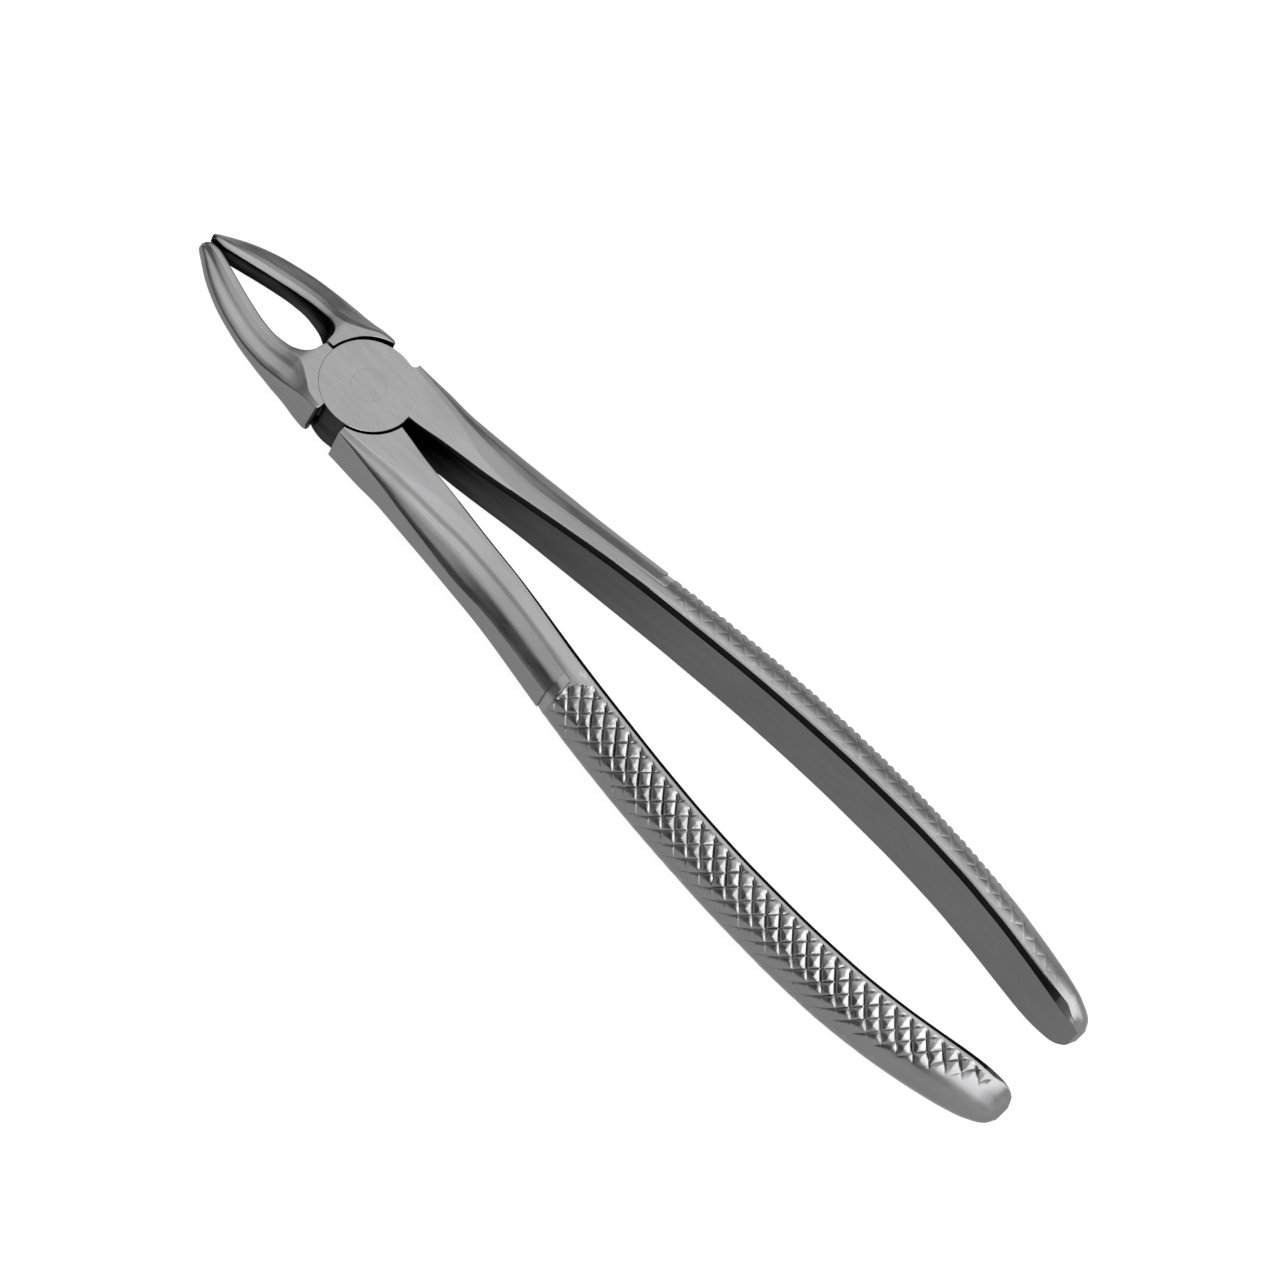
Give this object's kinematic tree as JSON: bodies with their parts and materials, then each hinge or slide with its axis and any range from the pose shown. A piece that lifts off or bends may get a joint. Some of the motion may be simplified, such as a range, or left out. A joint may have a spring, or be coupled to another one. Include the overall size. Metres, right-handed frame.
{
  "type": "dental extraction forceps",
  "caption": "Straight upper dental extraction forceps: two crossed steel levers on a flush rivet, slim hollow beaks and long bowed handles with a knurled grip.",
  "frame": {"origin": "centre of the rear joint face, on the pivot axis", "axes": "+X along the closed tool from the pivot to the handle ends, the beaks point to -X; +Z along the pivot axis towards the front lever's joint face; +Y towards the front lever's handle"},
  "size_m": [0.175, 0.0374, 0.013],
  "materials": {
    "lever_steel": "satin",
    "rivet_steel": "satin, ground flush"
  },
  "bodies": {
    "front_lever": {"lever_front": "lever_steel", "pivot_rivet": "rivet_steel"},
    "rear_lever": {"lever_rear": "lever_steel"}
  },
  "joints": [
    {"name": "pivot", "type": "hinge", "parent": "front_lever", "child": "rear_lever", "pos_m": [0, 0, 0], "axis": [0, 0, -1], "range_deg": [0, 30]}
  ]
}
